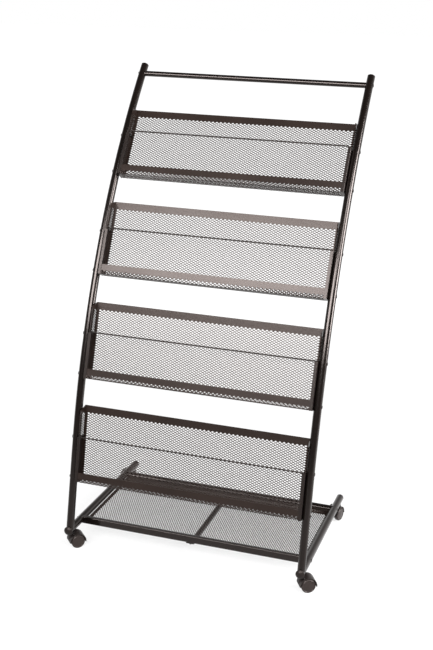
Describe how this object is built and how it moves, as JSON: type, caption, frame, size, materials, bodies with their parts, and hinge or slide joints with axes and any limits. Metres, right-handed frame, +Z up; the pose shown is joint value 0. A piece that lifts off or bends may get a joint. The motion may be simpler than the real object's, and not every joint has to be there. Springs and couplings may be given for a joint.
{
  "type": "periodical display rack",
  "caption": "Rolling display rack: slanted expanded-metal pockets with retaining wires between two backward-curving tube uprights, on a tube base with a mesh tray and twin-wheel casters.",
  "frame": {"origin": "on the floor, under the middle of the rack's overall footprint", "axes": "+Z up, -Y towards the reader who stands in front of the pockets, +X to that reader's right"},
  "size_m": [0.771, 0.5674, 1.3387],
  "materials": {
    "frame_paint": "semi-gloss",
    "mesh_paint": "satin",
    "plate_paint": "satin",
    "wire_paint": "semi-gloss",
    "screw_paint": "satin",
    "cap_plastic": "satin",
    "hood_plastic": "satin",
    "wheel_plastic": "satin",
    "bright_steel": "bright zinc"
  },
  "bodies": {
    "frame": {"base_screws": "screw_paint", "front_left_caster_stem": "bright_steel", "front_right_caster_stem": "bright_steel", "left_foot": "frame_paint", "left_foot_front_cap": "cap_plastic", "left_foot_rear_cap": "cap_plastic", "left_upright": "frame_paint", "left_upright_cap": "cap_plastic", "pocket_1_basket": "mesh_paint", "pocket_1_left_plate": "plate_paint", "pocket_1_right_plate": "plate_paint", "pocket_1_screws": "screw_paint", "pocket_1_wire": "wire_paint", "pocket_2_basket": "mesh_paint", "pocket_2_left_plate": "plate_paint", "pocket_2_right_plate": "plate_paint", "pocket_2_screws": "screw_paint", "pocket_2_wire": "wire_paint", "pocket_3_basket": "mesh_paint", "pocket_3_left_plate": "plate_paint", "pocket_3_right_plate": "plate_paint", "pocket_3_screws": "screw_paint", "pocket_3_wire": "wire_paint", "pocket_4_basket": "mesh_paint", "pocket_4_left_plate": "plate_paint", "pocket_4_right_plate": "plate_paint", "pocket_4_screws": "screw_paint", "pocket_4_wire": "wire_paint", "rear_cross_tube": "frame_paint", "rear_left_caster_stem": "bright_steel", "rear_right_caster_stem": "bright_steel", "right_foot": "frame_paint", "right_foot_front_cap": "cap_plastic", "right_foot_rear_cap": "cap_plastic", "right_upright": "frame_paint", "right_upright_cap": "cap_plastic", "top_bar": "frame_paint", "top_bar_screws": "screw_paint", "tray_front_rail": "frame_paint", "tray_mesh": "mesh_paint", "tray_support_screws": "screw_paint", "tray_support_tube": "frame_paint"},
    "front_left_caster": {"front_left_caster_hood": "hood_plastic", "front_left_caster_axle": "bright_steel"},
    "front_left_caster_left_wheel": {"front_left_caster_left_wheel": "wheel_plastic"},
    "front_left_caster_right_wheel": {"front_left_caster_right_wheel": "wheel_plastic"},
    "front_right_caster": {"front_right_caster_hood": "hood_plastic", "front_right_caster_axle": "bright_steel"},
    "front_right_caster_left_wheel": {"front_right_caster_left_wheel": "wheel_plastic"},
    "front_right_caster_right_wheel": {"front_right_caster_right_wheel": "wheel_plastic"},
    "rear_left_caster": {"rear_left_caster_hood": "hood_plastic", "rear_left_caster_axle": "bright_steel"},
    "rear_left_caster_left_wheel": {"rear_left_caster_left_wheel": "wheel_plastic"},
    "rear_left_caster_right_wheel": {"rear_left_caster_right_wheel": "wheel_plastic"},
    "rear_right_caster": {"rear_right_caster_hood": "hood_plastic", "rear_right_caster_axle": "bright_steel"},
    "rear_right_caster_left_wheel": {"rear_right_caster_left_wheel": "wheel_plastic"},
    "rear_right_caster_right_wheel": {"rear_right_caster_right_wheel": "wheel_plastic"}
  },
  "joints": [
    {"name": "front_left_swivel", "type": "hinge", "parent": "frame", "child": "front_left_caster", "pos_m": [-0.341, -0.2597, 0.03], "axis": [0, 0, 1], "continuous": true},
    {"name": "front_left_left_wheel_spin", "type": "hinge", "parent": "front_left_caster", "child": "front_left_caster_left_wheel", "pos_m": [-0.32837, -0.24832, 0.02], "axis": [-0.6691, 0.7431, 0], "continuous": true},
    {"name": "front_left_right_wheel_spin", "type": "hinge", "parent": "front_left_caster", "child": "front_left_caster_right_wheel", "pos_m": [-0.32837, -0.24832, 0.02], "axis": [-0.6691, 0.7431, 0], "continuous": true},
    {"name": "front_right_swivel", "type": "hinge", "parent": "frame", "child": "front_right_caster", "pos_m": [0.341, -0.2597, 0.03], "axis": [0, 0, 1], "continuous": true},
    {"name": "front_right_left_wheel_spin", "type": "hinge", "parent": "front_right_caster", "child": "front_right_caster_left_wheel", "pos_m": [0.35572, -0.2512, 0.02], "axis": [-0.5, 0.866, 0], "continuous": true},
    {"name": "front_right_right_wheel_spin", "type": "hinge", "parent": "front_right_caster", "child": "front_right_caster_right_wheel", "pos_m": [0.35572, -0.2512, 0.02], "axis": [-0.5, 0.866, 0], "continuous": true},
    {"name": "rear_left_swivel", "type": "hinge", "parent": "frame", "child": "rear_left_caster", "pos_m": [-0.341, 0.2143, 0.03], "axis": [0, 0, 1], "continuous": true},
    {"name": "rear_left_left_wheel_spin", "type": "hinge", "parent": "rear_left_caster", "child": "rear_left_caster_left_wheel", "pos_m": [-0.35572, 0.2058, 0.02], "axis": [0.5, -0.866, 0], "continuous": true},
    {"name": "rear_left_right_wheel_spin", "type": "hinge", "parent": "rear_left_caster", "child": "rear_left_caster_right_wheel", "pos_m": [-0.35572, 0.2058, 0.02], "axis": [0.5, -0.866, 0], "continuous": true},
    {"name": "rear_right_swivel", "type": "hinge", "parent": "frame", "child": "rear_right_caster", "pos_m": [0.341, 0.2143, 0.03], "axis": [0, 0, 1], "continuous": true},
    {"name": "rear_right_left_wheel_spin", "type": "hinge", "parent": "rear_right_caster", "child": "rear_right_caster_left_wheel", "pos_m": [0.3366, 0.19788, 0.02], "axis": [0.9659, -0.2588, 0], "continuous": true},
    {"name": "rear_right_right_wheel_spin", "type": "hinge", "parent": "rear_right_caster", "child": "rear_right_caster_right_wheel", "pos_m": [0.3366, 0.19788, 0.02], "axis": [0.9659, -0.2588, 0], "continuous": true}
  ]
}
